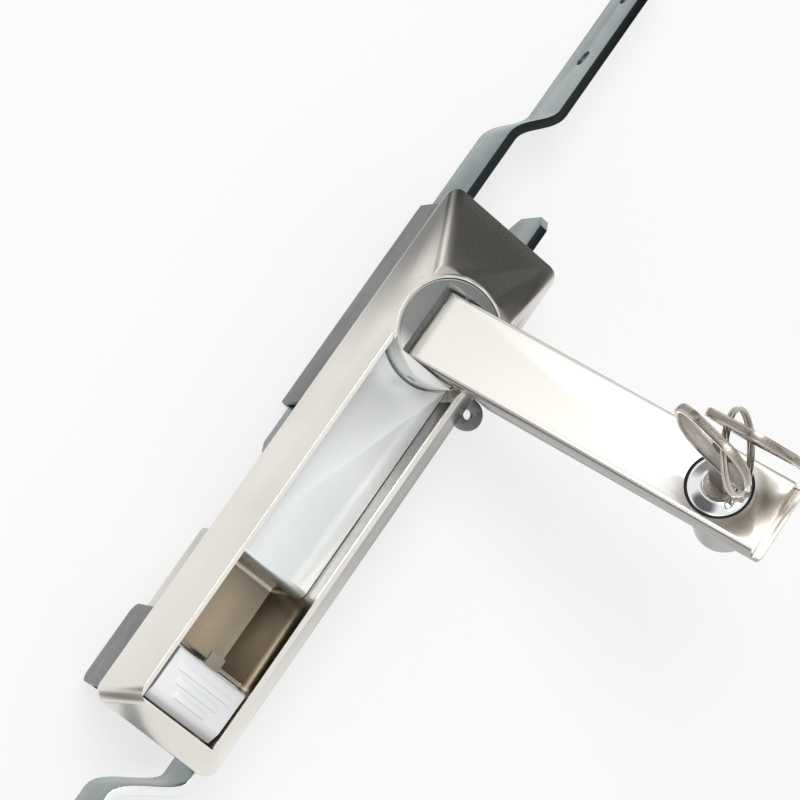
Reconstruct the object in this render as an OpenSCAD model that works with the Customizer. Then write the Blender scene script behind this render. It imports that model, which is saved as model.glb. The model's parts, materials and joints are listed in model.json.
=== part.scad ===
// Swing-handle rod lock for a cabinet door, with the handle raised and turned to the open side.
// X runs across the lock, Y along it towards its upper end, Z out of the door.
// The origin is the middle of the body on the front face of the door sheet.

/* [Bezel] */
// Width of the body over its flange
body_w = 44; // [42:0.5:52]
// Length of the body over its flange
body_l = 187; // [183:0.5:200]
// Height of the flange's upright edge
flange_t = 1.8; // [1.2:0.1:2.6]
// Height of the lip above the door
lip_z = 12.2; // [11.6:0.1:13]
// Thickness of a lip
lip_t = 1.4; // [1.2:0.1:1.6]
// Width of the opening between the lips
opening_w = 26.6; // [26.4:0.1:27]
// Run of the slope at the upper end
top_run = 23.5; // [20:0.5:25]
// Run of the slope at the lower end
bottom_run = 6; // [4.5:0.5:7]
// Corner radius of the flange
base_r = 4; // [2:0.5:7]
// Corner radius at the lip
lip_r = 4; // [2:0.5:6]
// Thickness of the lower end wall at the lip
end_wall = 0.8; // [0.6:0.1:1.2]
// Wall of the cast cup, pocket and well
wall = 2; // [1.6:0.1:2.2]

/* [Door] */
// Thickness of the painted door sheet that the lock clamps
door_t = 2.2; // [2:0.1:2.4]

/* [Rotor] */
// Distance of the rotor's axis from the body's upper end
rotor_from_end = 40.4; // [39.5:0.1:42]
// Radius of the rotor
rotor_r = 16.5; // [16.2:0.1:16.8]
// Height of the rotor's top
rotor_top = 13.2; // [12.6:0.1:13.6]
// Gap between the rotor and its seat
rotor_gap = 0.35; // [0.3:0.05:0.45]
// Thickness of the rim round the rotor at its top
rim_t = 0.85; // [0.6:0.05:1.2]
// Height of the rim
rim_z = 13.4; // [12.8:0.1:13.6]
// Clearance between the handle's root and the sides of its slot
slot_gap = 0.55; // [0.4:0.05:0.7]
// Reach of the slot behind the rotor's axis
slot_back = 9.5; // [9:0.1:11]
// Clearance between the handle's knuckles and the slot's floor
knuckle_gap = 0.4; // [0.3:0.05:0.6]
// Height of the hinge pin's axis
pivot_z = 7.5; // [7.4:0.1:8]
// Diameter of the hinge pin
pin_d = 3; // [2.6:0.1:3.2]
// Diameter of the rotor's journal
journal_d = 14; // [13:0.5:15]

/* [Tray and pocket] */
// Height of the tray plate's face
tray_z = 3.1; // [2.9:0.1:3.3]
// Thickness of the tray plate
tray_t = 1.5; // [1.2:0.1:1.6]
// Reach of the pocket above the folded lock cylinder's axis
pocket_reach = 10.8; // [10.6:0.1:11.2]
// Clearance between the button and the pocket's end wall
button_front_gap = 2.2; // [1.8:0.1:2.6]
// Thickness of the wall between the pocket and the button's well
pocket_end_wall = 1.2; // [1:0.1:1.4]
// Depth of the tray plate's turned-down end
tray_drop = 5; // [4:0.1:6]
// Bend radius of the tray plate's turned-down end
tray_bend = 2.4; // [1.8:0.1:2.8]
// Depth of the pocket's floor behind the door face
pocket_d = 24; // [23.8:0.1:24.2]

/* [Release button] */
// Clearance between the button and the sides of its well
button_gap = 1; // [0.8:0.1:1.2]
// Clearance between the button and the lower end wall
button_end_gap = 1; // [0.8:0.1:1.4]
// Length of the button
button_l = 17.2; // [16.8:0.1:17.4]
// Height of the button's face
button_z = 12.4; // [12:0.1:12.8]
// Wall of the button
button_wall = 1.6; // [1.4:0.1:2]
// Length of the bevel at the button's lower end
button_bevel = 3.6; // [3:0.1:4]
// Height of the button's pivot pin
button_pin_z = 4.2; // [4:0.1:4.6]
// Diameter of the button's pivot pin
button_pin_d = 2.4; // [2:0.1:2.8]

/* [Handle] */
// Angle of the raised handle above the door
handle_raise = 40; // [39:0.5:46]
// Width of the handle
handle_w = 24.5; // [24:0.1:24.6]
// Clearance between the folded handle's tip and the button
tip_gap = 4.1; // [3.7:0.1:6]
// Thickness of the handle
handle_t = 8; // [7.6:0.1:8.2]
// Height of the handle's face above the hinge pin
handle_top = 4.7; // [4.5:0.1:4.9]
// Radius of the handle's rounded root
root_round = 3.6; // [2.4:0.1:3.8]
// Reach of the handle's root behind the hinge pin
root_l = 5.4; // [5.2:0.1:5.6]
// Reach of the catch step past the handle's face
catch_l = 2.5; // [2:0.1:2.8]
// Thickness of the handle's neck over the rim
neck_t = 5.2; // [4.8:0.1:5.4]
// Reach of the handle's neck from the hinge pin
neck_l = 24; // [22:0.5:26]
// Wall over the handle's hollow underside
handle_wall = 2.2; // [1.8:0.1:2.6]
// Radius of the handle's knuckles
knuckle_r = 4.4; // [4.2:0.1:4.5]

/* [Lock cylinder] */
// Distance of the lock cylinder from the end of the handle's face
lock_from_end = 18; // [17.5:0.1:18.5]
// Outer radius of the boss behind the handle
boss_r = 9.7; // [9.5:0.1:10]
// Depth of the boss below the hinge pin
boss_d = 25; // [24:0.1:25.2]
// Radius of the cylinder cover
cover_r = 9.4; // [9.2:0.1:9.5]
// Gap round the cylinder cover
cover_gap = 0.8; // [0.5:0.1:1]
// Height of the cover's crown above the handle's face
cover_crown = 1; // [0.6:0.1:1.2]
// Radius of the plug's nose in the cover
nose_r = 4.4; // [4.2:0.1:4.6]
// Radius of the lock barrel
barrel_r = 8; // [7.8:0.1:8.2]
// Radius of the lock plug
plug_r = 5.4; // [5.2:0.1:5.6]
// Reach of the locking cam from the plug's axis
cam_l = 11.4; // [10.8:0.1:11.6]

/* [Keys] */
// Thickness of a key
key_t = 2; // [1.8:0.1:2.2]
// Width of a key's bow
bow_w = 28; // [26:0.5:29]
// Height of a key's bow
bow_h = 25; // [24.8:0.1:25.2]
// Corner radius of a key's bow
bow_r = 9; // [8.6:0.1:9.4]
// Width of a key's blade
blade_w = 6.5; // [6:0.1:6.8]
// Length of a key's blade
blade_l = 27; // [26.6:0.1:27.2]
// Height of the inserted key's bow above the handle's face
bow_lift = 17; // [16.8:0.1:17.4]
// Distance of the bow's hole below its top edge
bow_hole_d = 6; // [5.8:0.1:6.2]
// Distance of the bow's hole from the blade's middle line
bow_hole_x = 5; // [4.8:0.1:5.2]
// Radius of the bow's hole
bow_hole_r = 3.6; // [3.5:0.1:3.7]
// Mean radius of the split ring
ring_r = 12; // [11.8:0.1:12.2]
// Wire diameter of the split ring
ring_wire = 1.2; // [1:0.1:1.3]

/* [Rods] */
// Width of a rod's flat bar
rod_w = 21.2; // [20:0.1:21.2]
// Thickness of a rod's flat bar
rod_t = 3; // [2.6:0.1:3.1]
// Distance of the bars' front edges behind the door face
rod_front = 7.6; // [7.6:0.1:8]
// Distance of the outer ends of both rods from the middle of the body
rod_end = 200; // [190:1:260]
// Distance of the outer stretches from the lock's middle line
rod_far_x = 3.5; // [2.5:0.1:4.5]
// Clearance between the lower rod and the lower clamp
rod_pass_gap = 2.1; // [1.8:0.1:3.4]
// Diameter of the connecting holes
rod_hole_d = 5.5; // [4:0.1:6.5]
// Distance of the first connecting hole from a rod's end
rod_hole_end = 41; // [30:1:50]
// Distance between the two connecting holes
rod_hole_pitch = 25; // [20:1:28]

/* [Pinion] */
// Pitch that the teeth and the windows in the bars come closest to
pitch = 8; // [7.4:0.1:8.6]
// Width of a tooth at its root
tooth_root = 3.8; // [3.4:0.1:4]
// Width of a tooth at its tip
tooth_tip = 2.2; // [1.8:0.1:2.4]
// Length of a window in the bars
window_l = 5.2; // [5:0.1:5.4]
// Height of a window in the bars
window_h = 13; // [12.6:0.1:13.4]
// Face width of the pinion
pinion_w = 12; // [11:0.1:12.2]
// Side of the square spindle
spindle_s = 8; // [7.6:0.1:8.2]

/* [Gear case] */
// Width of the gear case
case_w = 34; // [34:0.1:34.6]
// Clearance between a bar and the gear case's side wall
bar_gap = 0.77; // [0.6:0.01:1]
// Length of the gear case
case_l = 76; // [74:0.5:77]
// Sheet thickness of the gear case and its plate
sheet_t = 2; // [1.6:0.1:2]
// Distance of the case screws from the rotor's axis
case_screw_y = 31; // [30:0.1:31.5]
// Diameter of the case and clamp screws
screw_d = 4; // [3.6:0.1:4.2]
// Reach of the ear's hole from the middle line
ear_x = 25; // [24:0.1:27]
// Distance of the ear's hole below the rotor's axis
ear_drop = 11; // [8:0.5:14]
// Radius of the ear
ear_r = 5; // [4.5:0.1:5.5]
// Diameter of the ear's hole
ear_hole_d = 3.2; // [2.6:0.1:4]

/* [Lower clamp] */
// Clearance between the lower clamp and the pocket
clamp_gap = 0.7; // [0.5:0.1:0.9]
// Length of the lower clamp
clamp_l = 28; // [26:0.5:28.5]
// Distance of the lower clamp's upper edge from the body's lower end
clamp_from_end = 32.7; // [32:0.1:33.5]
// Length of the pillar for the clamp screw
clamp_pillar = 8; // [6:0.5:9]
// Corner radius of the clamp's cheeks
clamp_r = 3.5; // [2:0.5:5]

/* [Hidden] */
$fn = 64;
eps = 0.01;
fit = 0.05;
slack = 0.3;
rotor_y = body_l / 2 - rotor_from_end;
opening_end = -body_l / 2 + bottom_run + end_wall;
button_y = -opening_end - button_end_gap - button_l;
button_w = opening_w - 2 * button_gap;
handle_l = rotor_y + button_y - tip_gap - catch_l;
lock_x = handle_l - lock_from_end;
pocket_y = lock_x - rotor_y - pocket_reach;
pocket_w = opening_w;
lip_w = opening_w + 2 * lip_t;
rim_r = rotor_r + rotor_gap + rim_t;
slot_w = handle_w + 2 * slot_gap;
slot_floor = pivot_z - knuckle_r - knuckle_gap;
clamp_y = body_l / 2 - clamp_from_end;
clamp_w = pocket_w + 2 * wall + 2 * clamp_gap + 2 * sheet_t;
rod_pass_x = clamp_w / 2 + rod_pass_gap + rod_t / 2;
lip_len = body_l - top_run - bottom_run;
lip_mid = (bottom_run - top_run) / 2;
tray_seat = tray_z - tray_t;
cup_r = rotor_r + rotor_gap;
cup_floor = 0.4;
rotor_base = cup_floor + slack;
cup_under = cup_floor - wall;
case_front = -door_t - sheet_t;
rod_back = rod_front + rod_w;
rod_mid = -rod_front - rod_w / 2;
case_back = -rod_back - 0.2 - sheet_t;
rack_x = case_w / 2 - sheet_t - bar_gap - rod_t / 2;
pitch_r = rack_x;
teeth = 2 * round(PI * rack_x / pitch);
tooth_pitch = 2 * PI * rack_x / teeth;
tip_r = pitch_r + rod_t / 2 + 0.15;
root_r = pitch_r - rod_t / 2 - 1.3;
bar_half = 55;
journal_end = -7;
circlip_t = 1.2;
circlip_z = case_front - circlip_t - 0.2;
pocket_floor = -pocket_d;
pocket_end = -button_y + button_front_gap + pocket_end_wall;
well_floor = -1.2;
well_under = well_floor - wall;
well_end = opening_end;
clamp_back = pocket_floor - wall - 0.6 - sheet_t;
clamp_mid = -clamp_y - clamp_l / 2;
button_pin_y = -button_y - 4.5;
button_half = -button_y - button_l / 2;
spring_y = -button_y - 11.5;
handle_under = handle_top - handle_t;
eye_gap = 10;
coil_wire = 1;
coil_r = pin_d / 2 + 0.3 + coil_wire / 2;
clip_t = 1;
cover_seat = handle_top - 1.3;
barrel_end = -boss_d - clip_t - 0.2;
cam_t = 2.2;
cam_z = barrel_end - 0.2 - cam_t;
plug_stub = 6;
key_hole_z = handle_top + bow_lift + bow_h - bow_hole_d;
key_tip = 3;
key_rest = -15;
key_hole = [lock_x + bow_hole_x * cos(key_rest), bow_hole_x * sin(key_rest), key_hole_z];
spare_lean = 15.7;
spare_turn = -33;
spare_hole = key_hole + [-3.3, 7.55, 0.14] * ring_r / 12;
ring_tilt = 77;
ring_turn = 23.4;
ring_centre = key_hole + [0.05, 0.4125, -0.9125] * ring_r;
seat_recess = 0.4;
seat_band = 2.1;
root_z = 1;
case_gap = 0.15;
case_gap_y = 4;
joggle_l = 17;
joggle_gap = 26.5;
guide_l = 7;
boss_screw_r = screw_d / 2 + 2;

// Flat rectangle with round corners, on its centre
module rounded_plate(w, l, r) {
    square([w - 2 * r, l], center = true);
    square([w, l - 2 * r], center = true);
    for (sx = [-1, 1]) {
        for (sy = [-1, 1]) translate([sx * (w / 2 - r), sy * (l / 2 - r)]) circle(r);
    }
}

// Box from its low corner to its high corner
module span(low, high) {
    translate(low) cube(high - low);
}

// Places children in the frame of the raised handle: x along it, z out of its face, origin on the hinge pin
module on_handle() {
    translate([0, rotor_y, pivot_z]) rotate([0, -handle_raise, 0]) children();
}

// Cylinder along Y on its middle
module cross_pin(d, l) {
    rotate([90, 0, 0]) cylinder(d = d, h = l, center = true);
}

// Coil about Z from height 0, as a stack of turns joined by a riser
module coil(r, wire, turns, lead) {
    for (i = [0 : turns - 1]) {
        translate([0, 0, wire / 2 + i * lead]) rotate_extrude() translate([r, 0]) circle(d = wire, $fn = 24);
    }
    translate([r, 0, wire / 2]) cylinder(d = wire * 0.9, h = (turns - 1) * lead, $fn = 24);
}

// Pan-head machine screw: head below z = 0, shank up from it
module screw(d, l, head_d, head_h) {
    cylinder(d = d, h = l);
    difference() {
        translate([0, 0, -head_h]) cylinder(d = head_d, h = head_h);
        translate([0, 0, -head_h]) {
            cube([head_d * 0.7, d / 4, head_h], center = true);
            cube([d / 4, head_d * 0.7, head_h], center = true);
        }
    }
}

// Outer form of the bezel: flange, slopes and the raised rim round the rotor
module bezel_form() {
    hull() {
        linear_extrude(flange_t) rounded_plate(body_w, body_l, base_r, $fn = 32);
        translate([0, lip_mid, lip_z - 0.8]) linear_extrude(0.8) rounded_plate(lip_w, lip_len, lip_r, $fn = 32);
    }
    translate([0, rotor_y, flange_t]) cylinder(h = rim_z - flange_t, r1 = body_w / 2 - 0.6, r2 = rim_r);
}

// Cored recesses in the back of both side slopes, with ribs between them
module side_cores() {
    core_low = -body_l / 2 + 12;
    core_high = rotor_y - cup_r - 6;
    bays = 4;
    rib = 2.4;
    step = (core_high - core_low + rib) / bays;
    inner = opening_w / 2 + 2.2;
    outer = body_w / 2 - 2.2;
    for (side = [0, 1]) {
        mirror([side, 0, 0]) {
            for (i = [0 : bays - 1]) {
                translate([0, core_low + (i + 1) * step - rib, -eps])
                    rotate([90, 0, 0]) linear_extrude(step - rib)
                        polygon([[inner, 0], [outer, 0], [outer - 0.6, flange_t], [inner, lip_z / 2]]);
            }
        }
    }
}

module bezel_body() {
    color("#d9d6cf") difference() {
        union() {
            // Shell, whose back lies on the door with a band along its edge
            difference() {
                bezel_form();
                span([-body_w / 2 + seat_band, -body_l / 2 + seat_band, -1],
                     [body_w / 2 - seat_band, body_l / 2 - seat_band, seat_recess]);
            }
            // Cup behind the rotor
            translate([0, rotor_y, cup_under]) cylinder(h = root_z - cup_under, r = cup_r + wall / 2);
            // Box of the pocket
            span([-pocket_w / 2 - wall, pocket_end - wall, pocket_floor - wall],
                 [pocket_w / 2 + wall, -pocket_y + wall, root_z]);
            // Well of the button
            span([-opening_w / 2 - wall / 2, well_end - wall / 2, well_under],
                 [opening_w / 2 + wall / 2, pocket_end, root_z]);
            // Pillars for the case screws
            for (s = [-1, 1]) {
                translate([0, rotor_y + s * case_screw_y, -door_t]) cylinder(h = door_t + root_z, r = boss_screw_r);
            }
            // Pillar for the clamp screw
            translate([0, clamp_mid, well_under - clamp_pillar])
                cylinder(h = clamp_pillar + root_z, r = boss_screw_r);
        }
        // Seat of the rotor
        translate([0, rotor_y, cup_floor]) cylinder(h = rim_z, r = cup_r);
        translate([0, rotor_y, cup_under - eps]) cylinder(h = wall + 1, d = journal_d + 2 * fit);
        // Long opening above the tray
        span([-opening_w / 2, pocket_end, tray_seat], [opening_w / 2, rotor_y, rim_z + 1]);
        // Pocket for the lock cylinder
        span([-pocket_w / 2, pocket_end, pocket_floor], [pocket_w / 2, -pocket_y, rim_z]);
        // Well for the button
        span([-opening_w / 2, well_end, well_floor], [opening_w / 2, pocket_end - pocket_end_wall, rim_z]);
        // Passage for the button's hook
        span([-opening_w / 2, pocket_end - pocket_end_wall - eps, tray_seat],
             [opening_w / 2, pocket_end + eps, rim_z]);
        // Bores for the button's pin
        translate([0, button_pin_y, button_pin_z]) rotate([0, 90, 0])
            cylinder(d = button_pin_d + 2 * fit, h = opening_w + 2.4, center = true);
        // Bores for the case screws
        for (s = [-1, 1]) {
            translate([0, rotor_y + s * case_screw_y, -door_t - eps])
                cylinder(h = door_t + 1.2, d = screw_d + 2 * fit);
        }
        // Bore for the clamp screw
        translate([0, clamp_mid, well_under - clamp_pillar - eps])
            cylinder(h = clamp_pillar + 1, d = screw_d + 2 * fit);
        side_cores();
    }
}

module tray_plate() {
    bend_mid = -pocket_y + tray_bend - tray_t;
    color("#d8dcdb") difference() {
        rotate([90, 0, 90]) linear_extrude(opening_w - 2 * fit, center = true) {
            translate([bend_mid, tray_seat]) square([rotor_y - bend_mid, tray_t]);
            // End of the plate, bent down into the pocket
            difference() {
                translate([bend_mid, tray_z - tray_bend]) circle(tray_bend);
                translate([bend_mid, tray_z - 3 * tray_bend]) square(6 * tray_bend);
                translate([bend_mid - 3 * tray_bend, tray_z - 7 * tray_bend]) square(6 * tray_bend);
                // Corner of the body that the plate is bent over
                translate([-pocket_y - fit, tray_seat - 6 * tray_bend]) square(6 * tray_bend);
            }
            translate([bend_mid - tray_bend, tray_z - tray_bend - tray_drop]) square([tray_t - fit, tray_drop]);
        }
        translate([0, rotor_y, 0]) cylinder(h = rim_z, r = cup_r + 0.2);
    }
}

module rotor() {
    edge = 0.7;
    color("#cfccc5") translate([0, rotor_y, 0]) difference() {
        union() {
            rotate_extrude() polygon([[0, rotor_base], [rotor_r, rotor_base], [rotor_r, rotor_top - edge],
                                      [rotor_r - edge, rotor_top], [0, rotor_top]]);
            translate([0, 0, journal_end]) cylinder(h = rotor_base - journal_end + eps, d = journal_d);
        }
        // Slot for the handle's root
        span([-slot_back, -slot_w / 2, slot_floor], [rotor_r + 1, slot_w / 2, rotor_top + 1]);
        translate([0, 0, pivot_z]) cross_pin(pin_d + 2 * fit / 2, 3 * rotor_r);
        // Groove of the retaining ring
        translate([0, 0, circlip_z]) difference() {
            cylinder(h = circlip_t + 0.1, d = journal_d + 1);
            translate([0, 0, -eps]) cylinder(h = circlip_t + 1, d = journal_d - 1.6);
        }
        // Square socket for the spindle
        translate([0, 0, journal_end]) cube([spindle_s + 2 * fit, spindle_s + 2 * fit, 2 * 6.5], center = true);
    }
}

module hinge_pin() {
    reach = sqrt(rotor_r * rotor_r - pin_d * pin_d / 4) - 0.25;
    color("#b9bcbc") translate([0, rotor_y, pivot_z]) cross_pin(pin_d, 2 * reach);
}

module pop_spring() {
    turns = 5;
    lead = 1.6 * coil_wire;
    long = (turns - 1) * lead;
    leg = 0.75 * coil_wire;
    color("#9a9d9d") translate([0, rotor_y, pivot_z]) {
        translate([0, (long + coil_wire) / 2, 0]) rotate([90, 0, 0]) coil(coil_r, coil_wire, turns, lead);
        // Leg on the slot's floor
        translate([0, long / 2, slot_floor - pivot_z + 0.05])
            cylinder(d = leg, h = pivot_z - slot_floor - 0.05 - coil_r, $fn = 24);
        // Leg on the handle
        rotate([0, -handle_raise, 0]) translate([coil_r, -long / 2, 0]) rotate([0, 90, 0])
            cylinder(d = leg, h = 5.5 - coil_r, $fn = 24);
    }
}

module rotor_circlip() {
    color("#6f7478") translate([0, rotor_y, circlip_z + 0.05]) difference() {
        cylinder(h = circlip_t, d = journal_d + 4);
        translate([0, 0, -1]) cylinder(h = circlip_t + 2, d = journal_d - 1.5);
        // Gap of the ring
        translate([0, -journal_d / 2 - 1, 0]) cube([5, 6, 4 * circlip_t], center = true);
    }
}

module spindle() {
    tail_d = spindle_s - 0.2;
    color("#a9adad") translate([0, rotor_y, 0]) {
        difference() {
            union() {
                translate([0, 0, (journal_end + 6 + rod_mid - pinion_w / 2 - 2) / 2])
                    cube([spindle_s, spindle_s, journal_end + 6 - rod_mid + pinion_w / 2 + 2], center = true);
                translate([0, 0, case_back - 0.2])
                    cylinder(h = rod_mid - pinion_w / 2 - 2 - case_back + 0.2 + eps, d = tail_d);
            }
            translate([0, 0, case_back - 1]) cylinder(h = 9, d = 4 + 2 * fit);
        }
    }
}

module pinion() {
    color("#b7bab9") translate([0, rotor_y, rod_mid]) difference() {
        union() {
            linear_extrude(pinion_w, center = true) {
                circle(root_r);
                for (i = [0 : teeth - 1]) {
                    rotate(i * 360 / teeth)
                        polygon([[root_r - 1, tooth_root / 2], [tip_r, tooth_tip / 2],
                                 [tip_r, -tooth_tip / 2], [root_r - 1, -tooth_root / 2]]);
                }
            }
            // Hub on both sides
            cylinder(h = pinion_w + 4, r = root_r - 2, center = true);
        }
        cube([spindle_s + 2 * fit, spindle_s + 2 * fit, pinion_w + 10], center = true);
    }
}

module spindle_bush() {
    bush_front = rod_mid - pinion_w / 2 - 2.2;
    color("#c9a86a") translate([0, rotor_y, 0]) difference() {
        union() {
            translate([0, 0, case_back]) cylinder(h = bush_front - case_back, d = spindle_s + 4);
            translate([0, 0, case_back + sheet_t]) cylinder(h = bush_front - case_back - sheet_t, d = spindle_s + 8);
        }
        translate([0, 0, case_back - 1]) cylinder(h = -case_back, d = spindle_s - 0.2 + 2 * fit);
    }
}

module spindle_screw() {
    color("#8f9494") translate([0, rotor_y, case_back - 0.2]) {
        difference() {
            translate([0, 0, -1]) cylinder(h = 1, d = spindle_s + 5);
            translate([0, 0, -2]) cylinder(h = 3, d = 4);
        }
        translate([0, 0, -1]) screw(4, 9, 7.5, 2.6);
    }
}

module case_plate() {
    color("#8b8f90") translate([0, rotor_y, case_front]) linear_extrude(sheet_t) difference() {
        union() {
            square([case_w, case_l], center = true);
            translate([ear_x, -ear_drop]) circle(ear_r);
            translate([case_w / 2 - 1, -ear_drop - ear_r]) square([ear_x - case_w / 2 + 1, 2 * ear_r]);
        }
        circle(d = journal_d + 0.8);
        for (s = [-1, 1]) translate([0, s * case_screw_y]) circle(d = screw_d + 0.4);
        translate([ear_x, -ear_drop]) circle(d = ear_hole_d);
    }
}

module gear_case() {
    bend = 2.5;
    color("#7b7d7d") translate([0, rotor_y, 0]) difference() {
        rotate([90, 0, 0]) linear_extrude(case_l, center = true) difference() {
            union() {
                translate([-case_w / 2, case_back + bend]) square([case_w, case_front - case_back - bend]);
                translate([-case_w / 2 + bend, case_back]) square([case_w - 2 * bend, bend + eps]);
                for (s = [-1, 1]) translate([s * (case_w / 2 - bend), case_back + bend]) circle(bend);
            }
            translate([-case_w / 2 + sheet_t, case_back + sheet_t])
                square([case_w - 2 * sheet_t, case_front - case_back]);
        }
        translate([0, 0, case_back - 1]) cylinder(h = sheet_t + 2, d = spindle_s + 4 + 2 * fit);
        for (s = [-1, 1]) {
            translate([0, s * case_screw_y, case_back - 1]) cylinder(h = sheet_t + 2, d = screw_d + 0.4);
        }
    }
}

module rod_guides() {
    guide_w = case_w - 2 * sheet_t - 2 * case_gap;
    color("#3c3f41") for (s = [-1, 1]) {
        translate([0, rotor_y + s * case_screw_y, 0]) difference() {
            span([-guide_w / 2, -guide_l / 2, case_back + sheet_t], [guide_w / 2, guide_l / 2, case_front]);
            for (side = [-1, 1]) {
                translate([side * rack_x, 0, rod_mid - 0.3])
                    cube([rod_t + 2 * case_gap, guide_l + 2, rod_w + 0.6 + 2 * case_gap], center = true);
            }
            translate([0, 0, case_back]) cylinder(h = -case_back, d = screw_d + 0.4);
        }
    }
}

module case_screws() {
    color("#9a9ea0") for (s = [-1, 1]) {
        translate([0, rotor_y + s * case_screw_y, case_back])
            screw(screw_d, -case_back - door_t + 1, 2 * screw_d, 0.6 * screw_d);
    }
}

// Sideways place of a bar that eases from one line to another, as a share of the way
function eased(from, to, t) = from + (to - from) * (1 - cos(180 * t)) / 2;

// Points of a bar's middle line through one joggle
function joggle(from, to, y_from, y_to, steps = 12) =
    [for (i = [0 : steps]) [eased(from, to, i / steps), y_from + (y_to - y_from) * i / steps]];

// Unit normal of a line of points at one of them
function line_normal(p, i) =
    let (a = p[max(i - 1, 0)], b = p[min(i + 1, len(p) - 1)], d = (b - a) / norm(b - a)) [d[1], -d[0]];

// Outline of a bar of thickness t along a line of points
function bar_outline(p, t) =
    concat([for (i = [0 : len(p) - 1]) p[i] + line_normal(p, i) * t / 2],
           [for (i = [len(p) - 1 : -1 : 0]) p[i] - line_normal(p, i) * t / 2]);

// A flat bar on edge: a bent strip with windows for the teeth and connecting holes at its outer end
module bar(points, first_window, outer_end, outer_x) {
    windows = 6;
    side = sign(outer_end);
    difference() {
        translate([0, 0, -rod_back]) linear_extrude(rod_w) polygon(bar_outline(points, rod_t));
        for (i = [0 : windows - 1]) {
            translate([points[0][0], rotor_y + (first_window + i) * tooth_pitch, rod_mid])
                cube([3 * rod_t, window_l, window_h], center = true);
        }
        for (i = [0, 1]) {
            translate([outer_x, outer_end - side * (rod_hole_end - i * rod_hole_pitch), rod_mid])
                rotate([0, 90, 0]) cylinder(d = rod_hole_d, h = 3 * rod_t, center = true);
        }
        // Chamfered corners at both ends
        for (z = [-rod_front, -rod_back]) {
            translate([outer_x, outer_end, z]) rotate([45, 0, 0]) cube([3 * rod_t, 6, 6], center = true);
            translate([points[0][0], points[0][1], z]) rotate([45, 0, 0]) cube([3 * rod_t, 5, 5], center = true);
        }
    }
}

module upper_rod() {
    points = concat([[-rack_x, rotor_y - bar_half]],
                    joggle(-rack_x, -rod_far_x, body_l / 2 + joggle_gap, body_l / 2 + joggle_gap + joggle_l),
                    [[-rod_far_x, rod_end]]);
    color("#8f9c9c") bar(points, -4, rod_end, -rod_far_x);
}

module lower_rod() {
    below_case = rotor_y - case_l / 2;
    points = concat([[rack_x, rotor_y + bar_half]],
                    joggle(rack_x, rod_pass_x, below_case - case_gap_y, below_case - case_gap_y - joggle_l),
                    joggle(rod_pass_x, rod_far_x, -body_l / 2 - 2.5, -body_l / 2 - 2.5 - joggle_l),
                    [[rod_far_x, -rod_end]]);
    color("#8f9c9c") bar(points, -1, -rod_end, rod_far_x);
}

module lower_clamp() {
    inner_w = clamp_w - 2 * sheet_t;
    depth = -door_t - clamp_back;
    color("#7f8282") translate([0, clamp_mid, 0]) difference() {
        // Cheeks with round corners at the back
        rotate([90, 0, 90]) linear_extrude(clamp_w, center = true) {
            translate([0, clamp_back + depth / 2]) rounded_plate(clamp_l, depth, clamp_r);
            translate([-clamp_l / 2, -door_t - 2 * clamp_r]) square([clamp_l, 2 * clamp_r]);
        }
        span([-inner_w / 2, -clamp_l, clamp_back + sheet_t], [inner_w / 2, clamp_l, 1]);
        translate([0, 0, clamp_back - 1]) cylinder(h = sheet_t + 2, d = screw_d + 0.4);
    }
}

module clamp_screw() {
    color("#9a9ea0") translate([0, clamp_mid, clamp_back])
        screw(screw_d, well_under - clamp_back, 2 * screw_d, 0.6 * screw_d);
}

// Side view of the handle: face, catch step, underside and the root behind the pin
module handle_side() {
    step_z = -0.1;
    groove = 0.8;
    neck_z = handle_top - neck_t;
    polygon([[-root_l, 0], [-root_l, handle_top - root_round], [root_round - root_l, handle_top],
             [handle_l, handle_top],
             [handle_l, step_z - groove], [handle_l + groove, step_z - groove], [handle_l + groove, step_z],
             [handle_l + catch_l, step_z], [handle_l + catch_l, handle_under + 1],
             [handle_l + catch_l - 1, handle_under], [neck_l, handle_under],
             [neck_l - 3, neck_z], [0, neck_z], [0, 0]]);
    circle(knuckle_r);
    translate([root_round - root_l, handle_top - root_round]) circle(root_round);
}

// Cross-section of the handle with soft edges
module handle_section() {
    translate([0, (handle_top + handle_under) / 2 - 1]) rounded_plate(handle_w, handle_t + 2, 1.4);
}

module handle_grip() {
    plan_r = 2;
    hollow_from = neck_l + 4;
    hollow_to = lock_x - boss_r - 2;
    color("#f4f2ea") on_handle() difference() {
        union() {
            intersection() {
                rotate([90, 0, 0]) linear_extrude(handle_w + 2, center = true) handle_side();
                rotate([90, 0, 90]) translate([0, 0, -10]) linear_extrude(handle_l + 20) handle_section();
                translate([0, 0, -boss_d]) linear_extrude(2 * boss_d)
                    translate([(handle_l + catch_l - 8) / 2, 0])
                        rounded_plate(handle_l + catch_l + 8, handle_w, plan_r);
            }
            translate([lock_x, 0, -boss_d]) cylinder(h = boss_d + handle_under + 1, r = boss_r);
        }
        cross_pin(pin_d + 2 * fit, 2 * handle_w);
        // Room for the coil between the knuckles
        span([-8, -eye_gap / 2, -8], [5.6, eye_gap / 2, 1.6]);
        cross_pin(2 * coil_r + coil_wire + 0.4, eye_gap);
        // Hollow underside
        span([hollow_from, -handle_w / 2 + handle_wall, handle_under - 1],
             [hollow_to, handle_w / 2 - handle_wall, handle_top - handle_wall]);
        // Bore and seat of the lock cylinder
        translate([lock_x, 0, -boss_d - 1]) cylinder(h = boss_d + handle_top + 2, r = barrel_r + fit);
        translate([lock_x, 0, cover_seat]) cylinder(h = handle_t, r = cover_r + cover_gap);
    }
}

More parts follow.
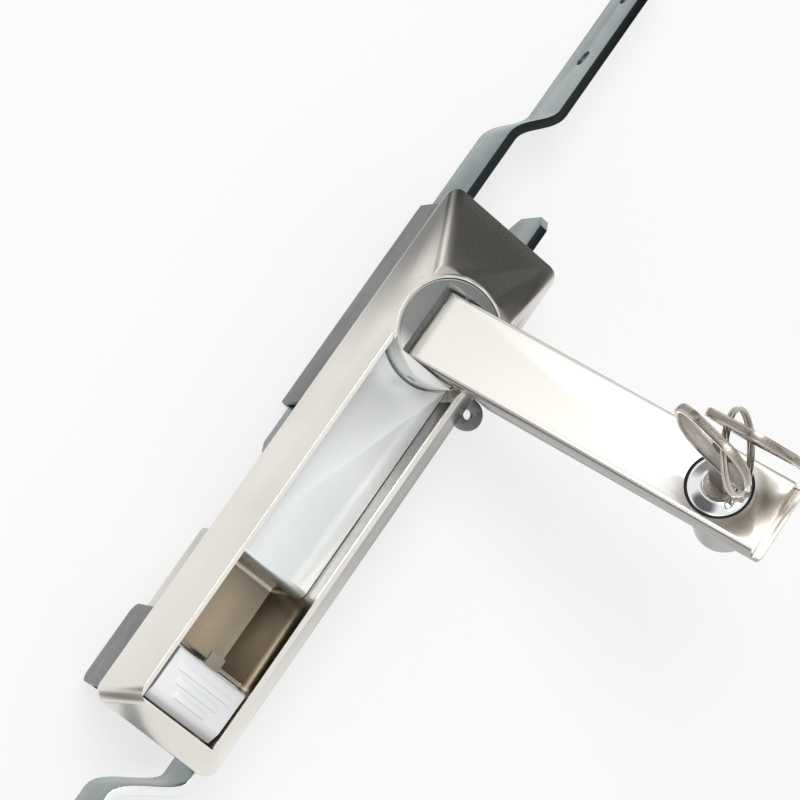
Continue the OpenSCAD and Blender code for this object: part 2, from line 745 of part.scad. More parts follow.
module cylinder_cover() {
    hole_r = nose_r + 0.35;
    rise = handle_top - cover_seat;
    color("#dfe2e4") on_handle() translate([lock_x, 0, cover_seat]) rotate_extrude()
        polygon([[hole_r, 0], [cover_r, 0], [cover_r, rise - 0.4], [cover_r - 0.4, rise],
                 [hole_r + 0.4, rise + cover_crown], [hole_r, rise + cover_crown - 0.3]]);
}

module lock_barrel() {
    color("#c4b27a") on_handle() translate([lock_x, 0, barrel_end]) difference() {
        cylinder(h = cover_seat - barrel_end, r = barrel_r);
        translate([0, 0, -1]) cylinder(h = cover_seat - barrel_end + 2, r = plug_r + fit);
    }
}

module barrel_clip() {
    color("#7c8082") on_handle() translate([lock_x, 0, -boss_d - clip_t]) difference() {
        cylinder(h = clip_t, r = boss_r - 0.4);
        translate([0, 0, -1]) cylinder(h = clip_t + 2, r = barrel_r + fit);
        translate([0, -boss_r, 0]) cube([4, 6, 4 * clip_t], center = true);
    }
}

module lock_plug() {
    face = handle_top + cover_crown - 0.2;
    color("#cfcabb") on_handle() translate([lock_x, 0, 0]) difference() {
        union() {
            translate([0, 0, barrel_end - 0.2]) cylinder(h = cover_seat - 0.4 - barrel_end + 0.2, r = plug_r);
            translate([0, 0, cover_seat - 1]) cylinder(h = face - cover_seat + 1, r = nose_r);
            translate([0, 0, cam_z + cam_t / 2])
                cube([plug_stub, plug_stub, cam_t + 2 * eps], center = true);
        }
        // Keyway
        rotate(key_rest) span([-blade_w / 2 - 0.15, -key_t / 2 - 0.1, handle_top - 18],
                              [blade_w / 2 + 0.15, key_t / 2 + 0.1, face + 1]);
        translate([0, 0, cam_z - 1]) cylinder(h = 7, d = 3 + 2 * fit);
    }
}

module lock_cam() {
    cam_r = 6.4;
    tongue = 7;
    color("#8d9294") on_handle() translate([lock_x, 0, cam_z]) linear_extrude(cam_t) difference() {
        union() {
            circle(cam_r);
            translate([-tongue / 2, 0]) square([tongue, cam_l]);
        }
        square(plug_stub + 2 * fit, center = true);
    }
}

module cam_screw() {
    color("#8f9494") on_handle() translate([lock_x, 0, cam_z - eps]) screw(3, 5.5, 9, 1.5);
}

// A flat key: x across, z along it, the bow's hole at the origin
module key_solid() {
    bow_low = bow_hole_d - bow_h;
    rotate([90, 0, 0]) translate([-bow_hole_x, 0, 0]) difference() {
        union() {
            translate([0, bow_hole_d - bow_h / 2, 0]) linear_extrude(key_t, center = true)
                rounded_plate(bow_w, bow_h, bow_r);
            linear_extrude(key_t, center = true)
                polygon([[-blade_w / 2, bow_low + 1], [blade_w / 2, bow_low + 1],
                         [blade_w / 2, bow_low - blade_l + key_tip], [0, bow_low - blade_l],
                         [-blade_w / 2, bow_low - blade_l + key_tip]]);
        }
        translate([bow_hole_x, 0, 0]) cylinder(h = 2 * key_t, r = bow_hole_r, center = true);
        // Cuts in the blade's edge
        for (i = [1 : 3]) {
            translate([blade_w / 2 + 0.8, bow_low - blade_l + key_tip + 1.2 + i * 2.4, 0])
                rotate(45) cube([2.2 - 0.3 * (i % 2), 2.2 - 0.3 * (i % 2), 2 * key_t], center = true);
        }
    }
}

module inserted_key() {
    color("#a59d95") on_handle() translate(key_hole) rotate(key_rest) key_solid();
}

module spare_key() {
    color("#9b948c") on_handle() translate(spare_hole) rotate([spare_lean, 0, 0]) rotate([0, spare_turn, 0])
        rotate(180) key_solid();
}

module split_ring() {
    color("#b3aea6") on_handle() translate(ring_centre) rotate([0, ring_tilt, ring_turn]) rotate_extrude() {
        for (s = [-1, 1]) translate([ring_r, s * ring_wire * 0.47]) circle(d = ring_wire, $fn = 24);
    }
}

// Side view of the button, a rocker on its pin: face, lower bevel and skirt
module button_side() {
    skirt_z = 1.4;
    polygon([[-button_y, skirt_z], [-button_y, button_z - 0.6], [-button_y - 0.6, button_z],
             [-button_y - button_l + button_bevel, button_z - 0.6], [-button_y - button_l, button_z - 3.2],
             [-button_y - button_l, skirt_z + 3], [-button_y - button_l + 2.4, skirt_z]]);
}

module release_button() {
    ribs = 3;
    rib_l = 2.2;
    rib_h = 0.9;
    hook_w = 5;
    hook_z = 7.6;
    color("#e2e3e5") difference() {
        union() {
            rotate([90, 0, 90]) linear_extrude(button_w, center = true) button_side();
            // Raised ribs, each shorter than the one above it
            for (i = [0 : ribs - 1]) {
                translate([0, -button_y - 4.6 - i * 3.7, button_z - 0.2 - i * 0.2])
                    cube([18.6 - i * 3.8, rib_l, 2 * rib_h], center = true);
            }
            // Hook that holds the handle's catch step
            span([-hook_w / 2, -button_y - 1, hook_z], [hook_w / 2, rotor_y - handle_l - catch_l + 0.8, hook_z + 1.2]);
        }
        // Hollow inside
        span([-button_w / 2 + button_wall, -button_y - button_l + button_wall, -1],
             [button_w / 2 - button_wall, -button_y - button_wall, button_z - 3.4]);
        translate([0, button_pin_y, button_pin_z]) rotate([0, 90, 0])
            cylinder(d = button_pin_d + 2 * fit, h = 2 * button_w, center = true);
    }
}

module button_pin() {
    color("#b9bcbc") translate([0, button_pin_y, button_pin_z]) rotate([0, 90, 0])
        cylinder(d = button_pin_d, h = opening_w + 2, center = true);
}

module button_spring() {
    turns = 6;
    wire = 0.9;
    lead = (button_z - 3.4 - well_floor - wire) / (turns - 1);
    color("#9a9d9d") translate([0, spring_y, well_floor]) coil(3.6, wire, turns, lead);
}

bezel_body();
tray_plate();
rotor();
hinge_pin();
pop_spring();
rotor_circlip();
spindle();
pinion();
spindle_bush();
spindle_screw();
case_plate();
gear_case();
rod_guides();
case_screws();
upper_rod();
lower_rod();
lower_clamp();
clamp_screw();
handle_grip();
cylinder_cover();
lock_barrel();
barrel_clip();
lock_plug();
lock_cam();
cam_screw();
inserted_key();
split_ring();
spare_key();
release_button();
button_pin();
button_spring();
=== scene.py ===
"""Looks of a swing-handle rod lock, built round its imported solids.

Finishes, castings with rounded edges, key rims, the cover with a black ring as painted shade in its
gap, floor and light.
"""

import json
import logging
import math
from dataclasses import dataclass, field
from enum import Enum
from typing import Any, Callable

import bpy
from mathutils import Matrix, Vector

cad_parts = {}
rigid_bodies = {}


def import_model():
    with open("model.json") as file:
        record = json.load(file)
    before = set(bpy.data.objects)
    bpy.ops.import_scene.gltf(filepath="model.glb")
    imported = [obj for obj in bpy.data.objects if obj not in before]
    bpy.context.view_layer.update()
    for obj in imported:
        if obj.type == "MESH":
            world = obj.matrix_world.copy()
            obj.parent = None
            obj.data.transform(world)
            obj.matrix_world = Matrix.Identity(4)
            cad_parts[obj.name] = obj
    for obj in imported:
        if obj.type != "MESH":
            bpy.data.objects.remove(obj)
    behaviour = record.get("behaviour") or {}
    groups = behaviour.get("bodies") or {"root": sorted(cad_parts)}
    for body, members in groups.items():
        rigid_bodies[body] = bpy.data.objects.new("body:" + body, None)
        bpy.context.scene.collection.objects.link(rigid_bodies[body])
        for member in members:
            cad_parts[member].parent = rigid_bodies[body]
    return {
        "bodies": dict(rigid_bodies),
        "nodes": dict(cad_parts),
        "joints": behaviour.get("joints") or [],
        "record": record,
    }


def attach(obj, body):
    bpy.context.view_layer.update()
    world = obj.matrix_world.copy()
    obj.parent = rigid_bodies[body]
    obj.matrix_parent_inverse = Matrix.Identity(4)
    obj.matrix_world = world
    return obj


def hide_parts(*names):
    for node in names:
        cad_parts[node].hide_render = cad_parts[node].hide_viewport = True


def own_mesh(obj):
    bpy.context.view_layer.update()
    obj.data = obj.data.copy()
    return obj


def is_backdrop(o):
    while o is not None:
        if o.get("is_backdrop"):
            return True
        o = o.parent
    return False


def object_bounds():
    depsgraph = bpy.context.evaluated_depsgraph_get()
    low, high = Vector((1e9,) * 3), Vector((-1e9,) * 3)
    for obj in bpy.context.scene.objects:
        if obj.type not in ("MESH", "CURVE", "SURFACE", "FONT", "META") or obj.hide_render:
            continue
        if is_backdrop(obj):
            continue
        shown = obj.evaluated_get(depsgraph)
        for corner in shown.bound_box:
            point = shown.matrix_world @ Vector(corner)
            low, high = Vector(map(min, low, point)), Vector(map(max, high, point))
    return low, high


LOG = logging.getLogger("rod_lock")

Triple = tuple[float, float, float]
Paint = tuple[float, float, float, float]
Frame = dict[str, Any]

MM = 0.001
FLOOR_GAP = 0.2 * MM
# Lengths in metres below this count as zero
TINY = 1e-6
# A face looks along an axis if its normal has more than this of it
FACING = 0.9

# Places in millimetres and angles in degrees, as in the part's source
ROTOR_Y = 53.1
PIVOT_Z = 7.5
HANDLE_RAISE = 40.0
LOCK_X = 97.0
KEY_REST = -15.0
KEY_HOLE_X = 5.0
KEY_HOLE_Z = 40.7
KEY_HOLE = (
    LOCK_X + KEY_HOLE_X * math.cos(math.radians(KEY_REST)),
    KEY_HOLE_X * math.sin(math.radians(KEY_REST)),
    KEY_HOLE_Z,
)
SPARE_HOLE = (KEY_HOLE[0] - 3.3, KEY_HOLE[1] + 7.55, KEY_HOLE[2] + 0.14)
SPARE_TURNS = ((15.7, "X"), (-33.0, "Y"), (180.0, "Z"))


def turned(angle: float, axis: str) -> Matrix:
    """A turn by so many degrees about X, Y or Z."""
    return Matrix.Rotation(math.radians(angle), 4, axis)


def handle_place() -> Matrix:
    """The raised handle's frame: x along it, z out of its face, origin on the hinge pin."""
    return Matrix.Translation((0, ROTOR_Y * MM, PIVOT_Z * MM)) @ turned(-HANDLE_RAISE, "Y")


def paint(code: str) -> Paint:
    """An opaque colour from its code in display values.

    Args:
        code: Six hex digits.

    Returns:
        The colour in linear values, by the sRGB curve.
    """
    parts = [int(code[i : i + 2], 16) / 255 for i in (0, 2, 4)]
    red, green, blue = (p / 12.92 if p <= 0.04045 else ((p + 0.055) / 1.055) ** 2.4 for p in parts)
    return (red, green, blue, 1.0)


class Value:
    """A shader socket that takes part in Python arithmetic."""

    def __init__(self, graph: "Graph", socket: bpy.types.NodeSocket) -> None:
        """Keeps the socket and the graph it belongs to."""
        self.graph = graph
        self.socket = socket

    def _math(self, operation: str, first: Any, second: Any) -> "Value":
        """Adds one Math node.

        Args:
            operation: The Math node's operation.
            first: Number or Value of the first socket.
            second: Number or Value of the second socket.

        Returns:
            The node's result.
        """
        return self.graph.node("ShaderNodeMath", {0: first, 1: second}, operation=operation)

    def __add__(self, other: Any) -> "Value":
        """Sum."""
        return self._math("ADD", self, other)

    def __radd__(self, other: Any) -> "Value":
        """Sum with the number first."""
        return self._math("ADD", other, self)

    def __sub__(self, other: Any) -> "Value":
        """Difference."""
        return self._math("SUBTRACT", self, other)

    def __rsub__(self, other: Any) -> "Value":
        """Difference with the number first."""
        return self._math("SUBTRACT", other, self)

    def __mul__(self, other: Any) -> "Value":
        """Product."""
        return self._math("MULTIPLY", self, other)

    def __rmul__(self, other: Any) -> "Value":
        """Product with the number first."""
        return self._math("MULTIPLY", other, self)

    def larger(self, other: Any) -> "Value":
        """The larger of two values."""
        return self._math("MAXIMUM", self, other)


class Graph:
    """A node tree that grows by one node at a time."""

    MIX_SHARE = 0
    MIX_FIRST = 6
    MIX_SECOND = 7
    MIX_RESULT = 2

    def __init__(self, tree: bpy.types.NodeTree) -> None:
        """Empties the tree and keeps it."""
        self.tree = tree
        self.tree.nodes.clear()

    def node(
        self,
        kind: str,
        inputs: dict[Any, Any] | None = None,
        output: int | str = 0,
        **settings: Any,
    ) -> Value:
        """Adds a node, sets it and links it.

        Args:
            kind: The node's type.
            inputs: Numbers, colours or Values by socket name or place.
            output: Name or place of the socket that is returned.
            **settings: Values of the node's own settings.

        Returns:
            The chosen output, or the first input where the node has no output.
        """
        made = self.tree.nodes.new(kind)
        for name, setting in settings.items():
            setattr(made, name, setting)
        for name, given in (inputs or {}).items():
            if isinstance(given, Value):
                self.tree.links.new(given.socket, made.inputs[name])
            else:
                made.inputs[name].default_value = given
        return Value(self, made.outputs[output] if len(made.outputs) else made.inputs[0])

    def mix(self, share: Any, first: Any, second: Any) -> Value:
        """Mixes two colours.

        Args:
            share: Share of the second colour.
            first: First colour.
            second: Second colour.

        Returns:
            The mixed colour.
        """
        # The Mix node takes and gives colours at other sockets than numbers
        inputs = {self.MIX_SHARE: share, self.MIX_FIRST: first, self.MIX_SECOND: second}
        settings = {"data_type": "RGBA", "clamp_factor": True}
        return self.node("ShaderNodeMix", inputs, self.MIX_RESULT, **settings)

    def spread(self, given: Value, low: float, high: float) -> Value:
        """Maps a value between two limits smoothly onto 0 to 1.

        Args:
            given: The value.
            low: Where the result is 0.
            high: Where the result is 1.

        Returns:
            The mapped value.
        """
        inputs = {"Value": given, "From Min": low, "From Max": high}
        return self.node("ShaderNodeMapRange", inputs, interpolation_type="SMOOTHSTEP")

    def noise(self, where: Value, scale: float, detail: float = 3.0) -> Value:
        """Noise pattern.

        Args:
            where: Coordinates.
            scale: Repeats in a metre.
            detail: Octaves.

        Returns:
            The pattern, about 0.5.
        """
        return self.node("ShaderNodeTexNoise", {"Vector": where, "Scale": scale, "Detail": detail})

    def ray(self, kind: str) -> Value:
        """One for rays of a kind, such as Camera or Glossy, else zero."""
        return self.node("ShaderNodeLightPath", output=f"Is {kind} Ray")


class Grain(Enum):
    """How the surface of a finish is worked."""

    CAST = "cast"
    BRUSHED = "brushed"
    ROLLED = "rolled"
    POLISHED = "polished"
    MOULDED = "moulded"


PATTERN_MIDDLE = 0.5
CLOUD_DETAIL = 4.0
CLOUD_LIMITS = (0.3, 0.72)
CLOUD_GLOSS = 0.04
STREAK_LIMITS = (0.42, 0.75)
STREAK_SHARE = {Grain.BRUSHED: 0.35, Grain.ROLLED: 0.2}
BUMP_HEIGHT = 0.2 * MM


@dataclass(frozen=True)
class Patch:
    """A box in millimetres in which a finish takes another colour.

    It lies in the lock's frame or, if raised, in the raised handle's.
    """

    code: str
    low: Triple
    high: Triple
    soft: float
    share: float = 1.0
    fade: float = 0.0
    raised: bool = False
    hard_end: bool = False

    def mask(self, graph: Graph, where: Value) -> Value:
        """Makes the share of the patch's colour at each place.

        Args:
            graph: The material's graph.
            where: Object coordinates.

        Returns:
            The patch's share inside the box, falling to zero over its soft edge. Along Y that edge
            is the fade, at the low end alone if the end is hard.
        """
        inside: Any = self.share
        if self.raised:
            back = handle_place().inverted()
            turn = {"Location": back.to_translation(), "Rotation": back.to_euler()}
            where = graph.node("ShaderNodeMapping", {"Vector": where, **turn})
        for axis, start in enumerate((self.soft, self.fade or self.soft, self.soft)):
            stop = self.soft if self.hard_end else start
            low, high = self.low[axis], self.high[axis]
            place = graph.node("ShaderNodeSeparateXYZ", {0: where}, axis)
            entered = graph.spread(place, (low - start) * MM, (low + start) * MM)
            left = graph.spread(place, (high - stop) * MM, (high + stop) * MM)
            inside = entered * (1 - left) * inside
        return inside


@dataclass(frozen=True)
class Finish:
    """A surface finish: its colours, gloss and worked grain."""

    name: str
    code: str
    shade_code: str
    grain: Grain
    roughness: float
    metallic: float = 1.0
    stretch: Triple = (1.0, 1.0, 1.0)
    turn: Triple = (0.0, 0.0, 0.0)
    grain_scale: float = 900.0
    grain_depth: float = 0.12
    roughness_spread: float = 0.12
    cloud_scale: float = 38.0
    cloud: float = 0.5
    patches: tuple[Patch, ...] = ()

    def material(self) -> bpy.types.Material:
        """Makes the finish's material once.

        Returns:
            The material.
        """
        title = f"{self.name}_finish"
        known = bpy.data.materials.get(title)
        if known:
            return known
        made = bpy.data.materials.new(title)
        made.use_nodes = True
        graph = Graph(made.node_tree)
        where = graph.node("ShaderNodeTexCoord", output="Object")
        turn = tuple(math.radians(angle) for angle in self.turn)
        along = graph.node(
            "ShaderNodeMapping", {"Vector": where, "Rotation": turn, "Scale": self.stretch}
        )
        cloud = graph.spread(graph.noise(where, self.cloud_scale, CLOUD_DETAIL), *CLOUD_LIMITS)
        fine = graph.noise(along, self.grain_scale)
        shade = paint(self.shade_code)
        tint = graph.mix(cloud * self.cloud, paint(self.code), shade)
        if self.grain in STREAK_SHARE:
            streak = graph.spread(fine, *STREAK_LIMITS) * STREAK_SHARE[self.grain]
            tint = graph.mix(streak, tint, shade)
        for patch in self.patches:
            tint = graph.mix(patch.mask(graph, where), tint, paint(patch.code))
        gloss = self.roughness + (fine - PATTERN_MIDDLE) * self.roughness_spread
        gloss = gloss + (cloud - PATTERN_MIDDLE) * CLOUD_GLOSS
        bump = graph.node(
            "ShaderNodeBump",
            {"Strength": self.grain_depth, "Distance": BUMP_HEIGHT, "Height": fine},
        )
        shader = graph.node(
            "ShaderNodeBsdfPrincipled",
            {"Base Color": tint, "Metallic": self.metallic, "Roughness": gloss, "Normal": bump},
        )
        graph.node("ShaderNodeOutputMaterial", {"Surface": shader})
        return made


class Finishes:
    """All finishes of the lock, by what they are on."""

    # Painted shade: the inner walls of the opening are darkened where the handle shades them
    INNER_WALL_SHADE = Patch("83827e", (-13.5, -86.8, 1.0), (13.5, 38.0, 11.5), soft=0.1, share=0.85)
    # Painted shade: the right inner wall is darkest next to the handle and fades away towards the
    # bottom
    RIGHT_WALL_SHADE = Patch(
        "3f3e3c",
        (12.6, -10.0, 1.0),
        (13.5, 38.0, 11.5),
        soft=0.1,
        share=0.85,
        fade=40.0,
        hard_end=True,
    )
    POCKET = Patch("938a7b", (-13.5, -66.0, -30.0), (13.5, -34.0, 11.5), soft=0.15)
    # Painted shade: the right outer slope is darkened and fades out along its length
    RIGHT_SLOPE_SHADE = Patch(
        "777774", (15.2, -40.0, -6.0), (24.0, 60.0, 13.2), soft=0.3, share=0.85, fade=45.0
    )
    # Painted reflection: a dark band on the outer left slope towards the top, fading along its length
    LEFT_SLOPE_DARK_REFLECTION = Patch(
        "737170", (-40.0, 48.0, -8.0), (-18.6, 190.0, 14.0), soft=2.6, share=0.85, fade=28.0
    )
    # Painted shade: the rotor's top face is darker than its bright rim
    ROTOR_FACE_SHADE = Patch(
        "747675", (-30.0, 43.0, 12.8), (30.0, 90.0, 30.0), soft=0.2, share=0.9, fade=4.0
    )
    # Painted shade: the handle's tip round the keys is darkened
    TIP_SHADE = Patch("dcd6cb", (78.0, 30.0, 40.0), (120.0, 80.0, 120.0), soft=4.0, share=0.85)
    # Painted shade: the handle's near and far sides are darker than its top
    NEAR_SIDE_SHADE = Patch("989794", (-10.0, 20.0, -30.0), (130.0, 41.4, 130.0), soft=0.2, share=0.9)
    FAR_SIDE_SHADE = Patch("989794", (-10.0, 64.8, -30.0), (130.0, 90.0, 130.0), soft=0.2, share=0.9)
    # Painted shade: the handle's root next to the rotor is darkened
    ROOT_SHADE = Patch("565654", (-20.0, 30.0, -10.0), (4.0, 80.0, 8.4), soft=1.7, share=0.85)
    # Painted shade: the boss under the raised handle is darkened
    BOSS_SHADE = Patch(
        "a09f9c", (60.0, -30.0, -60.0), (140.0, 30.0, -3.7), soft=0.3, share=0.8, raised=True
    )
    # Painted reflection: a dark line along the top edge of the upper bar
    UPPER_BAR_PAINTED_REFLECTION = Patch("23292a", (-60.0, 60.0, -7.66), (60.0, 230.0, 10.0), soft=0.04, share=0.95)
    # Painted highlight: a bright line along the top edge of the lower bar
    LOWER_BAR_PAINTED_HIGHLIGHT = Patch(
        "f6f8f8", (-60.0, -230.0, -7.66), (60.0, -60.0, 10.0), soft=0.04, share=0.95
    )
    # Painted shade: the release button's hook above its top edge is darkened
    HOOK_SHADE = Patch("8b8275", (-20.0, -68.45, -10.0), (20.0, -50.0, 30.0), soft=0.1, share=0.9)

    BODY = Finish(
        "pearl_nickel",
        "ece9e2",
        "dfdbd3",
        Grain.CAST,
        0.25,
        grain_scale=1500,
        grain_depth=0.005,
        roughness_spread=0.05,
        # Painted shade and a painted dark reflection by place on the walls and slopes
        patches=(INNER_WALL_SHADE, RIGHT_WALL_SHADE, POCKET, RIGHT_SLOPE_SHADE, LEFT_SLOPE_DARK_REFLECTION),
    )
    ROTOR = Finish(
        "turned_rotor",
        "eceeec",
        "dfe2e0",
        Grain.CAST,
        0.3,
        metallic=0.45,
        grain_depth=0.01,
        # Painted shade on the top face
        patches=(ROTOR_FACE_SHADE,),
    )
    HANDLE = Finish(
        "satin_handle",
        "fdfbf6",
        "f8f5ee",
        Grain.CAST,
        0.25,
        grain_scale=1300,
        grain_depth=0.004,
        roughness_spread=0.03,
        cloud_scale=22,
        # Painted shade on the tip, the sides, the root and the boss
        patches=(TIP_SHADE, NEAR_SIDE_SHADE, FAR_SIDE_SHADE, ROOT_SHADE, BOSS_SHADE),
    )
    TRAY = Finish(
        "bright_zinc_tray",
        "f1f4f4",
        "dfe4e5",
        Grain.ROLLED,
        0.3,
        metallic=0.6,
        stretch=(1, 0.05, 1),
        grain_depth=0.05,
        roughness_spread=0.06,
        cloud_scale=30,
    )
    BAR = Finish(
        "blue_zinc_bar",
        "9aa4a4",
        "768182",
        Grain.ROLLED,
        0.28,
        stretch=(1, 0.04, 1),
        grain_scale=1100,
        cloud=0.7,
        # A painted dark reflection and a painted highlight along the bars' top edges
        patches=(UPPER_BAR_PAINTED_REFLECTION, LOWER_BAR_PAINTED_HIGHLIGHT),
    )
    CASE = Finish(
        "grey_zinc_sheet", "828585", "646767", Grain.ROLLED, 0.38, stretch=(1, 0.05, 1), cloud=0.7
    )
    DULL = Finish("dull_zinc", "9fa3a3", "7f8585", Grain.CAST, 0.4)
    PIN = Finish("ground_pin", "b4b6b6", "8b8f90", Grain.BRUSHED, 0.3, stretch=(1, 0.1, 1))
    WIRE = Finish("drawn_wire", "8a8d90", "5f6366", Grain.ROLLED, 0.34, grain_scale=700)
    BRONZE = Finish("turned_bronze", "b88f52", "8f6a38", Grain.BRUSHED, 0.35)
    BRASS = Finish("turned_brass", "c6ab66", "9d8346", Grain.BRUSHED, 0.33)
    NYLON = Finish(
        "black_nylon", "2b2c2e", "1f2022", Grain.MOULDED, 0.55, metallic=0.0, grain_scale=1500
    )
    CHROME = Finish(
        "bright_chrome",
        "eceef0",
        "d9dcdf",
        Grain.POLISHED,
        0.08,
        grain_depth=0.01,
        roughness_spread=0.03,
    )
    PLUG = Finish("plug_nickel", "cbc6bc", "a8a297", Grain.BRUSHED, 0.28)
    KEY = Finish(
        "brushed_key",
        "a29a91",
        "7d756c",
        Grain.BRUSHED,
        0.36,
        stretch=(1, 1, 0.05),
        turn=(0, 8, 0),
        grain_depth=0.25,
    )
    KEY_RIM = Finish(
        "polished_key_rim", "c4bdb5", "9b938a", Grain.POLISHED, 0.16, grain_depth=0.03
    )
    # Painted shade: a black ring that stands in for the shade in the gap round the cover
    GAP_SHADE = Finish(
        "black_gap_shade", "151617", "0e0f10", Grain.MOULDED, 0.6, metallic=0.0, grain_scale=1200
    )
    RING = Finish("ring_nickel", "c6c0b8", "9d968d", Grain.POLISHED, 0.18, grain_depth=0.03)
    BUTTON = Finish(
        "silver_button",
        "eff0f1",
        "e4e6e8",
        Grain.MOULDED,
        0.4,
        metallic=0.3,
        grain_scale=1800,
        grain_depth=0.05,
        # Painted shade on the hook
        patches=(HOOK_SHADE,),
    )

    BY_NODE = {
        "bezel_body": BODY,
        "tray_plate": TRAY,
        "rotor": ROTOR,
        "hinge_pin": PIN,
        "pop_spring": WIRE,
        "rotor_circlip": WIRE,
        "spindle": DULL,
        "pinion": DULL,
        "spindle_bush": BRONZE,
        "spindle_screw": DULL,
        "case_plate": CASE,
        "gear_case": CASE,
        "rod_guides": NYLON,
        "case_screws": DULL,
        "upper_rod": BAR,
        "lower_rod": BAR,
        "lower_clamp": CASE,
        "clamp_screw": DULL,
        "handle_grip": HANDLE,
        "cylinder_cover": CHROME,
        "lock_barrel": BRASS,
        "barrel_clip": WIRE,
        "lock_plug": PLUG,
        "lock_cam": DULL,
        "cam_screw": DULL,
        "inserted_key": KEY,
        "split_ring": RING,
        "spare_key": KEY,
        "release_button": BUTTON,
        "button_pin": PIN,
        "button_spring": WIRE,
    }


class Bench:
    """Small helpers for modelling with operators on one piece at a time."""

    @staticmethod
    def clear() -> None:
        """Leaves edit mode and deselects everything."""
        if bpy.context.object and bpy.context.object.mode != "OBJECT":
            bpy.ops.object.mode_set(mode="OBJECT")
        bpy.ops.object.select_all(action="DESELECT")

    @staticmethod
    def take(piece: bpy.types.Object) -> None:
        """Makes one piece the only selected and the active one.

        Args:
            piece: The piece.
        """
        Bench.clear()
        piece.select_set(True)
        bpy.context.view_layer.objects.active = piece

    @staticmethod
    def open(piece: bpy.types.Object) -> None:
        """Opens a piece in edit mode with all of it selected.

        Args:
            piece: The piece, which becomes the active one.
        """
        Bench.take(piece)
        bpy.ops.object.mode_set(mode="EDIT")
        bpy.ops.mesh.select_all(action="SELECT")

    @staticmethod
    def unpick(piece: bpy.types.Object, kind: str) -> None:
        """Deselects all of a piece, for picking parts of one kind.

        Args:
            piece: The piece, which becomes the active one.
            kind: FACE or EDGE.
        """
        Bench.take(piece)
        bpy.ops.object.mode_set(mode="EDIT")
        bpy.ops.mesh.select_mode(type=kind)
        bpy.ops.mesh.select_all(action="DESELECT")
        bpy.ops.object.mode_set(mode="OBJECT")

    @staticmethod
    def pick_faces(piece: bpy.types.Object, test: Callable[[Vector], bool]) -> None:
        """Selects faces and leaves the piece in edit mode.

        Args:
            piece: The piece, which becomes the active one.
            test: Tells from a face's normal whether it is taken.
        """
        Bench.unpick(piece, "FACE")
        for face in piece.data.polygons:
            face.select = test(face.normal)
        bpy.ops.object.mode_set(mode="EDIT")

    @staticmethod
    def pick_edges(piece: bpy.types.Object, test: Callable[[Vector, Vector], bool]) -> None:
        """Selects edges and leaves the piece in edit mode.

        Args:
            piece: The piece, which becomes the active one.
            test: Tells from an edge's two ends whether it is taken.
        """
        Bench.unpick(piece, "EDGE")
        corners = piece.data.vertices
        for edge in piece.data.edges:
            edge.select = test(corners[edge.vertices[0]].co, corners[edge.vertices[1]].co)
        bpy.ops.object.mode_set(mode="EDIT")

    @staticmethod
    def smooth(angle: float) -> None:
        """Smooths the active piece's shading over edges below so many degrees."""
        bpy.ops.object.shade_smooth_by_angle(angle=math.radians(angle))

    @staticmethod
    def soften(piece: bpy.types.Object, width: float, segments: int, angle: float) -> None:
        """Rounds a piece's edges with a bevel and smooths its shading.

        Args:
            piece: The piece.
            width: Bevel width in metres.
            segments: Bevel segments.
            angle: Edges sharper than this many degrees are rounded.
        """
        Bench.take(piece)
        bevel = piece.modifiers.new("rounded_edges", "BEVEL")
        bevel.width = width
        bevel.segments = segments
        bevel.limit_method = "ANGLE"
        bevel.angle_limit = math.radians(angle)
        bpy.ops.object.modifier_apply(modifier=bevel.name)
        Bench.smooth(angle)

    @staticmethod
    def settle(piece: bpy.types.Object, place: Matrix) -> None:
        """Puts a piece in place and applies the place to its mesh.

        Args:
            piece: The piece.
            place: Its matrix in the lock's frame.
        """
        Bench.take(piece)
        piece.matrix_world = place
        bpy.ops.object.transform_apply(location=True, rotation=True, scale=True)

    @staticmethod
    def dress(piece: bpy.types.Object, finish: Finish) -> None:
        """Gives a piece one finish."""
        piece.data.materials.clear()
        piece.data.materials.append(finish.material())


@dataclass
class Casting:
    """A solid carried over with its edges rounded, as a cast or pressed part has them.

    The radius is in millimetres, the angle in degrees and the width a share of the solid's.
    """

    MERGE = 0.002 * MM
    FLAT = math.radians(0.6)

    node: str
    body: str
    slot: str
    radius: float
    segments: int = 3
    angle: float = 30.0
    width: float = 1.0

    def build(self, frame: Frame) -> bpy.types.Object:
        """Copies the solid, merges its triangles, rounds its edges and narrows it.

        Args:
            frame: The loaded frame.

        Returns:
            The piece that stands for the solid.
        """
        source = frame["nodes"][self.node]
        piece = bpy.data.objects.new(f"{self.node}_finished", source.data.copy())
        bpy.context.scene.collection.objects.link(piece)
        Bench.open(piece)
        bpy.ops.mesh.remove_doubles(threshold=self.MERGE)
        bpy.ops.mesh.dissolve_limited(angle_limit=self.FLAT)
        bpy.ops.object.mode_set(mode="OBJECT")
        if self.radius:
            Bench.soften(piece, self.radius * MM, self.segments, self.angle)
        if self.width < 1:
            corners = [Vector(corner) for corner in piece.bound_box]
            middle = sum(corners, Vector()) / len(corners)
            narrow = Matrix.Diagonal((self.width, self.width, 1, 1))
            Bench.settle(piece, Matrix.Translation(middle) @ narrow @ Matrix.Translation(-middle))
        Bench.dress(piece, Finishes.BY_NODE[self.node])
        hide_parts(self.node)
        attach(piece, self.body)
        return piece


